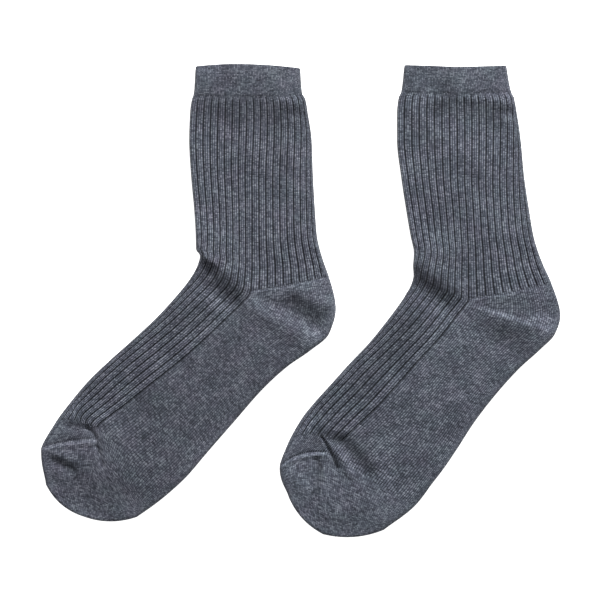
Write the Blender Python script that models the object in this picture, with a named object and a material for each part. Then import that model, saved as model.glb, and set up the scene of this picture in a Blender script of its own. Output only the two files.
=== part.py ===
"""A pair of ribbed wool socks that lie flat side by side.

Each sock is four knitted pieces: the turned cuff, the tube of leg and foot, the heel pocket and
the toe pocket. Every piece is a closed wall of cloth, with an upper layer and an under layer that
meet round the front edge and the back edge. Tables give the sections in millimetres, seen from above.
"""

from collections import namedtuple
import math

import bpy
import numpy as np

MM = 0.001

# Cloth, in millimetres
CLOTH = 1.5
EDGE_RADIUS = 2.2
SEAM_GAP = 0.3
RIB_CROWN = 0.3
RIB_GROOVE = 0.4
LIP_DEPTH = 0.8
LIP_DROP = 0.5
FOLD_EDGE = 3.5
LEAST_GAP = 0.4

# Middle of the pair in the tables, which is the origin of the part
PAIR_MIDDLE = (0.5, -0.6)

# Wales are the upright columns of stitches, counted from the front edge of the leg
RIB_WALES = 4
SIDE_WALE = 36
CROWD_WALES = 3.0
TURN_WALE = 80.0

# Yarn colours, as linear values
YARN = {
    "cuff": (0.103, 0.110, 0.138),
    "tube": (0.093, 0.100, 0.127),
    "heel": (0.090, 0.097, 0.123),
    "toe": (0.083, 0.090, 0.114),
}
YARN_ROUGHNESS = 0.95

# Sections from the cuff to the toe. Each runs from the front edge over the side line to the back edge.
# A bow is how far each half of it swells towards the toe. The wales past the front wale and the back
# wale crowd together as they turn under.
Section = namedtuple("Section", "name front side back front_bow back_bow front_wale back_wale")
SOCK_1 = (
    Section("cuff_top", (-73.1, 163.3), (-33.6, 164.8), (0.3, 161.9), -0.7, -0.4, -6.0, 68.0),
    Section("cuff_end", (-74.5, 143.5), (-32.8, 142.0), (1.7, 144.3), 0.0, 0.0, -6.0, 68.0),
    Section("leg_top", (-75.7, 140.7), (-32.6, 139.3), (3.7, 141.0), 0.0, 0.0, -6.0, 68.0),
    Section("leg_full", (-77.0, 130.2), (-32.3, 128.8), (5.7, 130.2), 0.0, 0.0, -6.0, 68.4),
    Section("leg_upper", (-77.6, 112.0), (-32.7, 111.3), (8.3, 112.0), 0.0, 0.0, -6.0, 70.0),
    Section("leg_middle", (-76.3, 87.5), (-33.7, 87.5), (9.2, 87.5), 0.0, 0.0, -6.0, 71.5),
    Section("leg_lower", (-74.1, 63.0), (-33.6, 63.0), (10.6, 63.0), 0.0, 0.0, -6.0, 72.7),
    Section("leg_end", (-73.0, 44.8), (-33.6, 43.4), (12.0, 44.8), 0.0, 0.0, -5.0, 73.3),
    Section("front_bulge", (-72.8, 35.9), (-33.6, 32.9), (14.1, 35.0), 0.0, 0.0, -2.0, 73.6),
    Section("front_fold", (-70.0, 30.8), (-33.6, 23.8), (16.9, 25.9), 0.0, 0.5, 2.0, 74.0),
    Section("heel_start", (-71.4, 25.2), (-34.6, 6.3), (20.4, 16.1), 0.0, 0.8, 4.5, 75.0),
    Section("heel_turn", (-74.9, 18.2), (-36.7, 1.7), (25.2, -6.3), 0.0, 0.0, 5.3, 75.0),
    Section("heel_under", (-76.6, 15.6), (-38.6, 0.0), (20.3, -23.8), 0.0, 0.0, 5.6, 75.0),
    Section("heel_end", (-78.4, 12.9), (-40.6, -2.1), (8.3, -34.6), 0.0, 0.0, 6.2, 75.0),
    Section("arch_back", (-86.0, 3.5), (-49.1, -10.4), (-8.3, -46.2), 0.0, 0.0, 7.4, 75.0),
    Section("arch", (-99.4, -11.2), (-64.8, -25.5), (-24.6, -60.9), 0.0, 0.0, 8.6, 75.0),
    Section("arch_front", (-115.4, -26.3), (-82.9, -41.6), (-46.9, -86.1), 0.0, 0.0, 10.0, 75.0),
    Section("ball_back", (-133.7, -42.7), (-103.5, -58.0), (-65.2, -107.1), 0.0, 0.0, 10.9, 75.0),
    Section("ball", (-148.2, -56.7), (-121.1, -72.1), (-80.0, -124.3), 0.0, 0.0, 11.0, 75.0),
    Section("ribs_end", (-159.5, -70.0), (-142.1, -89.6), (-92.5, -135.8), 3.5, 0.0, 11.0, 75.0),
    Section("toe_top", (-171.9, -86.8), (-142.1, -93.8), (-98.1, -140.4), 0.0, 0.0, 11.0, 75.0),
    Section("toe_seam", (-181.3, -105.0), (-142.1, -98.0), (-103.7, -144.6), -1.4, 0.0, 11.0, 75.0),
    Section("toe_end", (-177.8, -129.2), (-152.2, -151.4), (-114.2, -151.9), 3.5, 3.4, 11.0, 75.0),
)
SOCK_2 = (
    Section("cuff_top", (73.0, 164.2), (112.3, 162.9), (144.5, 163.8), 0.0, 0.0, -6.0, 64.2),
    Section("cuff_end", (70.7, 145.3), (114.3, 144.2), (148.0, 145.3), 0.0, 0.0, -6.0, 64.2),
    Section("leg_top", (69.0, 141.8), (114.6, 140.7), (149.7, 141.8), 0.0, 0.0, -6.0, 64.2),
    Section("leg_full", (67.9, 130.2), (114.9, 129.5), (152.0, 130.2), 0.0, 0.0, -6.0, 65.3),
    Section("leg_upper", (67.9, 112.0), (115.1, 112.0), (154.6, 112.0), 0.0, 0.0, -6.0, 67.6),
    Section("leg_middle", (70.6, 87.5), (114.9, 87.5), (156.9, 87.5), 0.0, 0.0, -6.0, 70.2),
    Section("leg_lower", (74.3, 63.0), (116.2, 63.0), (160.5, 63.0), 0.0, 0.0, -6.0, 73.0),
    Section("leg_end", (77.4, 44.8), (117.1, 43.4), (163.6, 44.8), 0.0, 0.0, -5.0, 74.0),
    Section("front_bulge", (79.7, 32.9), (117.6, 30.8), (167.1, 32.9), 0.0, 0.0, -2.0, 74.5),
    Section("front_fold", (79.1, 23.8), (117.6, 15.4), (170.7, 23.8), 0.0, 0.5, 2.0, 75.0),
    Section("heel_start", (79.5, 17.5), (117.6, 0.7), (176.3, 11.2), 0.0, 0.8, 4.5, 75.0),
    Section("heel_turn", (77.0, 9.1), (114.8, -4.2), (182.4, -11.2), 0.0, 0.0, 5.3, 75.0),
    Section("heel_under", (74.7, 5.3), (112.4, -7.4), (178.5, -23.8), 0.0, 0.0, 5.6, 75.0),
    Section("heel_end", (72.4, 1.4), (109.9, -10.5), (169.3, -33.6), 0.0, 0.0, 6.4, 75.0),
    Section("arch_back", (60.7, -14.7), (97.0, -26.9), (153.9, -47.6), 0.0, 0.0, 8.0, 75.0),
    Section("arch", (47.6, -30.8), (82.2, -42.8), (136.8, -66.5), 0.0, 0.0, 10.0, 75.0),
    Section("arch_front", (34.9, -44.1), (70.1, -56.7), (121.7, -86.1), 0.0, 0.0, 11.4, 75.0),
    Section("ball_back", (21.7, -58.8), (53.6, -74.8), (109.5, -105.0), 0.0, 0.0, 12.0, 75.0),
    Section("ball", (9.1, -72.8), (40.4, -87.3), (99.4, -119.7), 0.0, 0.0, 12.2, 75.0),
    Section("ribs_end", (1.4, -82.6), (28.3, -99.3), (91.8, -129.5), 1.7, 0.0, 12.2, 75.0),
    Section("toe_top", (-8.7, -100.8), (24.5, -103.6), (86.0, -137.6), -2.0, 0.0, 12.2, 75.0),
    Section("toe_seam", (-14.3, -116.8), (21.7, -108.5), (80.0, -144.6), -5.6, 0.0, 12.2, 75.0),
    Section("toe_end", (-7.8, -138.3), (16.1, -164.0), (58.7, -160.9), 3.1, 3.5, 12.2, 75.0),
)

# Mesh rows from a section up to the next one, where there is more than one
MORE_ROWS = {
    "cuff_top": 2,
    "front_fold": 2,
    "heel_start": 4,
    "heel_turn": 3,
    "heel_under": 3,
    "heel_end": 2,
    "ball": 2,
    "ribs_end": 2,
    "toe_top": 3,
    "toe_seam": 6,
}

# Ridges (height above zero) and hollows (below zero) of the upper layer. A fold runs from start to
# end, swells sideways by its bow, and falls away over one width on each of its two sides: the left
# and the right of someone who walks from its start to its end.
Fold = namedtuple("Fold", "name start end bow left_width right_width height")
FOLDS_1 = (
    Fold("front bulge", (-71.0, 33.8), (-61.5, 26.8), 0.0, 4.5, 2.0, 1.5),
    Fold("ankle hollow", (-66.0, 16.0), (-51.0, 3.5), 0.0, 7.0, 7.0, -1.0),
    Fold("ankle ridge", (-57.0, 29.0), (-43.5, 17.0), 0.0, 6.0, 5.5, 1.2),
    Fold("instep swell", (-76.0, -2.0), (-60.0, -4.0), 0.0, 6.0, 7.0, 0.7),
    Fold("foot fullness", (-84.0, -58.0), (-40.0, -22.0), 0.0, 20.0, 20.0, 0.7),
    Fold("heel gore", (-33.0, -6.0), (6.0, -27.0), 0.0, 4.0, 9.0, 1.2),
    Fold("heel hollow", (-8.5, -4.5), (9.5, -16.0), 0.0, 5.0, 5.5, -1.3),
    Fold("heel rim", (-1.0, 3.5), (17.0, -4.5), 0.0, 4.5, 4.5, 0.8),
    Fold("toe fullness", (-165.0, -118.0), (-130.0, -114.0), 0.0, 12.0, 16.0, 1.0),
    Fold("toe seam", (-181.0, -105.3), (-144.0, -99.2), 1.0, 1.6, 2.2, 1.0),
    Fold("toe hollow", (-172.0, -110.5), (-160.5, -116.5), 0.0, 4.5, 5.0, -1.3),
    Fold("toe corner crease", (-148.0, -90.0), (-138.0, -115.0), 3.0, 2.4, 2.4, -1.0),
)
FOLDS_2 = (
    Fold("ankle hollow", (77.0, 17.0), (100.0, 0.0), 0.0, 7.0, 7.0, -1.0),
    Fold("ankle ridge", (86.0, 30.0), (108.0, 12.0), 0.0, 6.0, 5.5, 1.2),
    Fold("instep swell", (66.0, -9.0), (88.0, -12.0), 0.0, 7.0, 7.0, 0.7),
    Fold("foot fullness", (60.0, -74.0), (112.0, -34.0), 0.0, 20.0, 20.0, 0.7),
    Fold("heel fullness", (140.0, -16.0), (162.0, -22.0), 0.0, 8.0, 10.0, 0.6),
    Fold("heel gore", (134.0, -7.6), (176.0, -21.5), -1.0, 2.4, 8.0, 1.7),
    Fold("heel hollow", (146.0, -2.5), (170.0, -10.0), 0.0, 4.5, 4.0, -0.7),
    Fold("sole dip", (144.0, -27.0), (161.0, -37.0), 0.0, 7.0, 8.0, -1.2),
    Fold("toe fullness", (4.0, -128.0), (50.0, -138.0), 0.0, 14.0, 14.0, 0.9),
    Fold("toe seam", (-14.5, -116.8), (15.0, -106.6), 3.4, 1.6, 1.8, 1.0),
    Fold("toe pleat", (17.5, -96.5), (31.5, -121.0), 2.4, 3.2, 2.4, 1.7),
    Fold("toe hollow", (31.0, -98.0), (43.0, -112.0), 0.0, 4.5, 5.0, -1.3),
)

# Columns of the mesh, from the front edge to the side line and from there to the back edge. Each is
# a distance from an edge in millimetres, or a wale.
EDGE_STEP = 0.6
FRONT_EDGE = (("front", 0.0), ("front", EDGE_STEP))
BACK_EDGE = (("back", EDGE_STEP), ("back", 0.0))


def wales(*numbers):
    """Columns on the wales given."""
    return tuple(("wale", float(number)) for number in numbers)


def rib_wales(first, last):
    """Columns on the groove and on the two shoulders of each rib."""
    grooves = range(first, last, RIB_WALES)
    return wales(*(groove + step for groove in grooves for step in (0, 1, RIB_WALES - 1)), last)


COLUMNS = {
    ("cuff", "front"): FRONT_EDGE + wales(4, 8, 12, 16, 20, 24, 28, 32, 36),
    ("cuff", "back"): wales(36, 40, 44, 48, 52, 56, 60, 64) + BACK_EDGE,
    ("leg", "front"): FRONT_EDGE + wales(2) + rib_wales(4, SIDE_WALE),
    ("upper_leg", "back"): rib_wales(SIDE_WALE, 64) + BACK_EDGE,
    ("leg", "back"): rib_wales(SIDE_WALE, 72) + BACK_EDGE,
    ("instep", "front"): FRONT_EDGE + rib_wales(8, SIDE_WALE),
    ("sole", "back"): wales(36, 41, 46, 51, 56, 61, 66, 71) + BACK_EDGE,
    ("heel", "back"): wales(36, 39, 42, 45, 48, 51, 54, 57, 60, 63, 66, 69, 72) + BACK_EDGE,
    ("toe", "front"): FRONT_EDGE + wales(12, 14, 16, 18, 20, 22, 24, 26, 28, 30, 32, 34, 36),
    ("toe", "back"): wales(36, 38, 40, 42, 45, 48, 52, 56, 60, 64, 68, 72) + BACK_EDGE,
    ("under", "front"): FRONT_EDGE + wales(10, 18, 27, 36),
    ("under", "back"): wales(36, 45, 54, 63) + (("back", EDGE_RADIUS),) + BACK_EDGE,
    ("inner", "front"): (("front", CLOTH),) + wales(12, 16, 20, 24, 28, 32, 36),
    ("inner", "back"): wales(36, 42, 48, 54, 60) + (("back", 4.0), ("back", CLOTH)),
    ("inner_heel", "back"): wales(36, 39, 42, 45, 48, 51, 54, 57, 60, 63, 66, 69) + (("back", CLOTH),),
}

# The four stretches of a ring, in order round it: name, layer, half
Stretch = namedtuple("Stretch", "name side half")
RING = (
    Stretch("top_front", "top", "front"),
    Stretch("top_back", "top", "back"),
    Stretch("under_back", "under", "back"),
    Stretch("under_front", "under", "front"),
)
ALL = ("top_front", "top_back", "under_back", "under_front")
FRONTS = ("top_front", "under_front")
BACKS = ("top_back", "under_back")

# The stretches of cloth in each piece: first section, last section, stretches of the ring
PIECES = {
    "cuff": (("cuff_top", "cuff_end", ALL),),
    "tube": (
        ("cuff_end", "heel_start", ALL),
        ("heel_start", "heel_end", FRONTS),
        ("heel_end", "toe_seam", ALL),
    ),
    "heel": (("heel_start", "heel_end", BACKS),),
    "toe": (("toe_seam", "toe_end", ALL),),
}


def clear_scene():
    """Empty the scene before the socks are made."""
    for thing in list(bpy.data.objects):
        bpy.data.objects.remove(thing, do_unlink=True)


def curve_slopes(stations, values):
    """Slopes of a smooth curve through the values that never overshoots them."""
    steps = np.diff(stations)[:, None]
    rises = np.diff(values, axis=0) / steps
    slopes = np.zeros_like(values)
    same_way = rises[:-1] * rises[1:] > 0
    before, after = steps[:-1], steps[1:]
    weight_a, weight_b = 2 * after + before, after + 2 * before
    safe_a = np.where(same_way, rises[:-1], 1.0)
    safe_b = np.where(same_way, rises[1:], 1.0)
    blend = (weight_a + weight_b) / (weight_a / safe_a + weight_b / safe_b)
    slopes[1:-1] = np.where(same_way, blend, 0.0)
    slopes[0], slopes[-1] = rises[0], rises[-1]
    return slopes


class Sock:
    """The sections, mesh rows, outline and folds of one sock."""

    def __init__(self, sections, folds):
        self.folds = folds
        self.names = [section.name for section in sections]
        self.values = np.array([
            [*s.front, *s.side, *s.back, s.front_bow, s.back_bow, s.front_wale, s.back_wale]
            for s in sections
        ])
        moves = np.diff(self.values[:, :6], axis=0).reshape(-1, 3, 2)
        lengths = np.linalg.norm(moves, axis=2).mean(axis=1)
        self.stations = np.concatenate([[0.0], np.cumsum(lengths)])
        self.slopes = curve_slopes(self.stations, self.values)
        self.set_rows()
        self.set_outline()

    def set_rows(self):
        """Stations of the mesh rows on the outside and inside of the cloth, and each section's row."""
        outer = []
        self.row_of = {}
        for name, start, end in zip(self.names, self.stations, self.stations[1:]):
            self.row_of[name] = len(outer)
            count = MORE_ROWS.get(name, 1)
            outer += [start + (end - start) * k / count for k in range(count)]
            if name == "cuff_top":
                outer.insert(1, start + LIP_DEPTH)
        toe = self.stations[-1]
        inner = outer + [toe - EDGE_RADIUS, toe - CLOTH]
        outer = outer + [toe - EDGE_STEP, toe]
        self.row_of["toe_end"] = len(outer) - 1
        self.rows = {"outer": outer, "inner": inner}

    def section_at(self, station):
        """Section values at any station along the sock."""
        last = len(self.stations) - 2
        k = min(max(int(np.searchsorted(self.stations, station)) - 1, 0), last)
        step = self.stations[k + 1] - self.stations[k]
        t = (station - self.stations[k]) / step
        a, b = self.values[k], self.values[k + 1]
        slope_a, slope_b = self.slopes[k] * step, self.slopes[k + 1] * step
        return ((1 + 2 * t) * (1 - t) ** 2 * a + t * (1 - t) ** 2 * slope_a
                + t * t * (3 - 2 * t) * b + t * t * (t - 1) * slope_b)

    def set_outline(self):
        """Outline of the sock from the cuff down the front edge, round the toe and up the back edge."""
        down, up = [], []
        for station in self.rows["outer"]:
            values = self.section_at(station)
            down.append(values[0:2])
            up.append(values[4:6])
        toe = self.section_at(self.stations[-1])
        columns = COLUMNS["toe", "front"][1:] + COLUMNS["toe", "back"][1:-1]
        arc = [on_section(toe, column)[0] for column in columns]
        points = np.array(down + arc + up[::-1])
        self.outline_start = points[:-1]
        self.outline_step = np.diff(points, axis=0)

    def edge_distance(self, point):
        """Distance from a point to the outline."""
        offset = point - self.outline_start
        length = (self.outline_step ** 2).sum(axis=1) + 1e-12
        t = np.clip((offset * self.outline_step).sum(axis=1) / length, 0.0, 1.0)
        return float(np.linalg.norm(offset - t[:, None] * self.outline_step, axis=1).min())

    def fold_height(self, point):
        """Height that the folds add to the upper layer at a point."""
        total = 0.0
        for fold in self.folds:
            start, end = np.array(fold.start), np.array(fold.end)
            length = np.linalg.norm(end - start)
            along = (end - start) / length
            across = np.array((-along[1], along[0]))
            t = float((point - start) @ along) / length
            bow = fold.bow * 4 * t * (1 - t) if 0 < t < 1 else 0.0
            side = float((point - start) @ across) - bow
            past = max(0.0, -t, t - 1) * length
            width = fold.left_width if side > 0 else fold.right_width
            reach = max(fold.left_width, fold.right_width)
            total += fold.height * math.exp(-(side / width) ** 2 - (past / reach) ** 2)
        return total


def crowded(wales, turned):
    """Distance from an edge at which a wale lies, when that many wales have turned under there."""
    return CROWD_WALES * math.log1p(math.exp((wales - turned) / CROWD_WALES))


def on_section(values, column):
    """Point, way along and way to the toe of a column on a section, and how far along its half it is."""
    front, side, back = values[0:2], values[2:4], values[4:6]
    kind, amount = column
    is_front = kind == "front" or (kind == "wale" and amount <= SIDE_WALE)
    start, end, bow = (front, side, values[6]) if is_front else (side, back, values[7])
    length = float(np.linalg.norm(end - start))
    if kind == "front":
        t = amount / length
    elif kind == "back":
        t = 1.0 - amount / length
    elif is_front:
        least = crowded(0.0, values[8])
        t = (crowded(amount, values[8]) - least) / (crowded(SIDE_WALE, values[8]) - least)
    else:
        turned = TURN_WALE - values[9]
        least, most = crowded(0.0, turned), crowded(TURN_WALE - SIDE_WALE, turned)
        t = 1.0 - (crowded(TURN_WALE - amount, turned) - least) / (most - least)
    way = (end - start) / length
    to_toe = np.array((way[1], -way[0]))
    point = start + (end - start) * t + to_toe * bow * 4 * t * (1 - t)
    return point, way, to_toe, t


def side_ways(values):
    """Way along and way to the toe at the side line, halfway between those of the two halves."""
    front, side, back = values[0:2], values[2:4], values[4:6]
    way = (side - front) / np.linalg.norm(side - front) + (back - side) / np.linalg.norm(back - side)
    way /= np.linalg.norm(way)
    return way, np.array((way[1], -way[0]))


def rounded(distance, radius):
    """Share of the full height that a rounded edge has reached at a distance from it."""
    x = min(max(distance / radius, 0.0), 1.0)
    return math.sqrt(1.0 - (1.0 - x) ** 2)


def rib_height(sock, row, column):
    """Height of the knitted ribs above the plain cloth."""
    kind, amount = column
    if kind != "wale":
        return 0.0
    last = "ribs_end" if amount <= SIDE_WALE else "heel_start"
    if not sock.row_of["cuff_end"] <= row <= sock.row_of[last]:
        return 0.0
    return -RIB_GROOVE if amount % RIB_WALES == 0 else RIB_CROWN


def column_set(piece, row, layer, stretch, sock):
    """Columns of one stretch of a mesh row, from the front edge towards the back edge."""
    half = stretch.half
    if layer == "inner":
        return COLUMNS["inner_heel" if piece == "heel" else "inner", half]
    at_toe_seam = row == sock.row_of["toe_seam"] and stretch.side == "under"
    if piece in ("cuff", "toe") or at_toe_seam:
        return COLUMNS["cuff" if piece == "cuff" else "toe", half]
    if stretch.side == "under":
        return COLUMNS["under", half]
    if piece == "heel":
        return COLUMNS["heel", half]
    if half == "back" and row < sock.row_of["leg_middle"]:
        return COLUMNS["upper_leg", half]
    if row < sock.row_of["heel_start"] or (half == "back" and row == sock.row_of["heel_start"]):
        return COLUMNS["leg", half]
    return COLUMNS["instep" if half == "front" else "sole", half]


class PieceMesh:
    """Points and faces of one piece, made where they are asked for."""

    def __init__(self, sock, piece):
        self.sock = sock
        self.piece = piece
        self.points = []
        self.faces = []
        self.index = {}
        self.cells = set()
        for first, last, names in PIECES[piece]:
            for row in range(sock.row_of[first], sock.row_of[last]):
                self.cells.update((row, name) for name in names)

    def seam_shift(self, row, stretch, is_side):
        """How far a point moves towards the toe and the back edge, so seams stay open."""
        def there(at_row, name):
            return (at_row, name) in self.cells

        names = [stretch.name]
        if is_side:
            names = ["top_front", "top_back"] if stretch.side == "top" else ["under_front", "under_back"]
        before = sum(there(row - 1, name) for name in names)
        after = sum(there(row, name) for name in names)
        is_opening = row == 0 or row == self.sock.row_of["toe_end"]
        toe_ward = 0 if is_opening else np.sign(after - before)
        back_ward = 0
        if is_side:
            fronts = there(row - 1, names[0]) + there(row, names[0])
            backs = there(row - 1, names[1]) + there(row, names[1])
            back_ward = np.sign(backs - fronts)
        return toe_ward * SEAM_GAP / 2, back_ward * SEAM_GAP / 2

    def vertex(self, layer, row, stretch, column):
        """Index and place along its half of a point of the piece."""
        sock = self.sock
        is_edge = column in (("front", 0.0), ("back", 0.0), ("front", CLOTH), ("back", CLOTH))
        is_end = row == sock.row_of["toe_end"]
        is_side = column == ("wale", float(SIDE_WALE))
        values = sock.section_at(sock.rows[layer][row])
        point, way, to_toe, t = on_section(values, column)
        key = (layer, row, None if is_edge or is_end else stretch.side, column)
        if key in self.index:
            return self.index[key], t
        if is_side:
            way, to_toe = side_ways(values)
        toe_ward, back_ward = self.seam_shift(row, stretch, is_side)
        point = point + to_toe * toe_ward + way * back_ward
        height = self.height(layer, row, stretch, column, point, is_edge or is_end)
        self.index[key] = len(self.points)
        place = (point[0] - PAIR_MIDDLE[0], point[1] - PAIR_MIDDLE[1], height)
        self.points.append([value * MM for value in place])
        return self.index[key], t

    def height(self, layer, row, stretch, column, point, is_mid):
        """Height of a point of the piece above the surface that the sock lies on."""
        if is_mid:
            return EDGE_RADIUS
        wall = CLOTH if layer == "inner" else 0.0
        distance = self.sock.edge_distance(point)
        share = rounded(distance - wall, EDGE_RADIUS - wall)
        if stretch.side == "under":
            return EDGE_RADIUS - (EDGE_RADIUS - wall) * share
        fold = self.sock.fold_height(point) * min(distance / FOLD_EDGE, 1.0)
        height = EDGE_RADIUS + (EDGE_RADIUS - wall) * share + fold
        if layer == "inner":
            return max(height, EDGE_RADIUS - (EDGE_RADIUS - CLOTH) * share + LEAST_GAP * share)
        if row == 0:
            height -= LIP_DROP * share
        return height + rib_height(self.sock, row, column) * share

    def run(self, layer, row, stretch):
        """Points of one stretch of a mesh row in ring order, each with its place along the stretch."""
        columns = column_set(self.piece, row, layer, stretch, self.sock)
        points = [self.vertex(layer, row, stretch, column) for column in columns]
        if stretch.side == "under":
            points = [(index, 1.0 - t) for index, t in reversed(points)]
        return points

    def strip(self, first, second):
        """Faces between two runs of points, in the order first, then second."""
        if len(first) == len(second):
            for k in range(len(first) - 1):
                self.faces.append((first[k][0], first[k + 1][0], second[k + 1][0], second[k][0]))
            return
        i = j = 0
        while i < len(first) - 1 or j < len(second) - 1:
            ahead = first[i + 1][1] if i < len(first) - 1 else math.inf
            beside = second[j + 1][1] if j < len(second) - 1 else math.inf
            if ahead <= beside:
                self.faces.append((first[i][0], first[i + 1][0], second[j][0]))
                i += 1
            else:
                self.faces.append((first[i][0], second[j + 1][0], second[j][0]))
                j += 1

    def make_faces(self):
        """Outer faces, inner faces, and the walls that join them round every open edge."""
        for row, name in sorted(self.cells):
            number = ALL.index(name)
            stretch = RING[number]
            outer, outer_next = self.run("outer", row, stretch), self.run("outer", row + 1, stretch)
            inner, inner_next = self.run("inner", row, stretch), self.run("inner", row + 1, stretch)
            self.strip(outer_next, outer)
            self.strip(inner, inner_next)
            if (row - 1, name) not in self.cells:
                self.strip(outer, inner)
            if (row + 1, name) not in self.cells and row + 1 != self.sock.row_of["toe_end"]:
                self.strip(inner_next, outer_next)
            if (row, ALL[(number + 1) % 4]) not in self.cells:
                self.strip([outer[-1], outer_next[-1]], [inner[-1], inner_next[-1]])
            if (row, ALL[(number - 1) % 4]) not in self.cells:
                self.strip([inner[0], inner_next[0]], [outer[0], outer_next[0]])

    def make_object(self, name, material):
        """Object of the piece, shaded smooth."""
        mesh = bpy.data.meshes.new(name)
        mesh.from_pydata(self.points, [], self.faces)
        mesh.shade_smooth()
        mesh.set_sharp_from_angle(angle=math.radians(60))
        mesh.materials.append(material)
        thing = bpy.data.objects.new(name, mesh)
        bpy.context.collection.objects.link(thing)
        return thing


def wool(name, colour):
    """Matt wool yarn in one colour."""
    material = bpy.data.materials.new(name)
    material.use_nodes = True
    shader = material.node_tree.nodes["Principled BSDF"]
    shader.inputs["Base Color"].default_value = (*colour, 1.0)
    shader.inputs["Roughness"].default_value = YARN_ROUGHNESS
    shader.inputs["Metallic"].default_value = 0.0
    return material


def main():
    """Make the eight pieces of the pair."""
    clear_scene()
    for number, sections, folds in ((1, SOCK_1, FOLDS_1), (2, SOCK_2, FOLDS_2)):
        sock = Sock(sections, folds)
        for piece in PIECES:
            name = f"sock_{number}_{piece}"
            mesh = PieceMesh(sock, piece)
            mesh.make_faces()
            mesh.make_object(name, wool(f"wool_{name}", YARN[piece]))


if __name__ == "__main__":
    main()
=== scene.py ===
"""Looks of a pair of ribbed wool socks that lie flat, side by side.

Each sock is one knitted skin, worked out from the same sections as its solids and divided into the
turned cuff, the tube of leg and foot, the heel pocket and the toe pocket. The stage adds a pale
floor, soft light and a camera that looks straight down. The tables are in millimetres, seen from above.
"""

from collections import namedtuple
import functools
import math

import bpy
import numpy as np
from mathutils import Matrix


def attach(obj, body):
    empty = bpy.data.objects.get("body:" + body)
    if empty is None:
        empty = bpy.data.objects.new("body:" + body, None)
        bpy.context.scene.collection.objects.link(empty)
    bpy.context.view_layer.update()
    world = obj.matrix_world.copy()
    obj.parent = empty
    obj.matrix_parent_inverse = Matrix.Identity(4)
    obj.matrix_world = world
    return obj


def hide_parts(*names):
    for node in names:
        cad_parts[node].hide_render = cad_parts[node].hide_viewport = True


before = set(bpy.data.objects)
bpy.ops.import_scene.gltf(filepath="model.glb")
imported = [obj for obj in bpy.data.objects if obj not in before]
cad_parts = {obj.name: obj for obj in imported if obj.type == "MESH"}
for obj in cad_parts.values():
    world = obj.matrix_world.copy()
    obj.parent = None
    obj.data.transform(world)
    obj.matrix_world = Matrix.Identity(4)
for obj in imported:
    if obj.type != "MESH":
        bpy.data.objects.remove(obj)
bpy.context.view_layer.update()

bl_info = {
    "name": "Ribbed Wool Socks",
    "version": (1, 0, 0),
    "blender": (4, 5, 0),
    "location": "3D View > Sidebar > Socks",
    "description": "A pair of ribbed wool socks laid flat, with their floor, light and camera",
    "category": "Mesh",
}

MM = 0.001

# Middle of the pair in the tables, which is the origin of the frame
PAIR_MIDDLE = (0.5, -0.6)

# Cloth in millimetres: thickness, radius of the turned edge, how far in a fold has its full height, and
# the least height of the upper layer
CLOTH = 1.5
EDGE_RADIUS = 2.2
FOLD_EDGE = 3.5
LEAST_LOFT = 1.8

# Share of a hollow's depth by which the under layer lifts off below it
UNDER_SHARE = 0.2

# Wales are the upright columns of stitches, counted from the front edge: how many make a rib, the one
# on the side line, over how many they crowd at an edge, and the one on the back edge. A course is one
# row of stitches across them.
RIB_WALES = 4
SIDE_WALE = 36
CROWD_WALES = 3.0
TURN_WALE = 80.0
COURSE_MM = 0.95

# Finest step of the mesh along the sock
ROW_STEP = 1.1

# Ribs, in millimetres: how much further they run in front than at the side line, in full from the
# run-on wale, where they rise past the cuff, and over how far they end before the heel and the toe.
# The pitch is the share of a wale's full width at which crowded wales show no rib and a full rib.
RIB_RUN_ON = 9.0
RUN_ON_WALE = 12
RIB_RISE = (-1.0, 6.0)
LEG_RIB_END = 1.5
FOOT_RIB_END = 2.0
RIB_PITCH = (0.12, 0.45)

# Widths of a groove and of a rib's shoulder in wales, and the groove's share in the under layer
GROOVE_WALES = 0.33
SHOULDER_WALES = 0.75
UNDER_GROOVE = 0.5


def table(kind, *rows):
    """Rows of a table, each as one named set of values."""
    return tuple(kind(*row) for row in rows)


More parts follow.
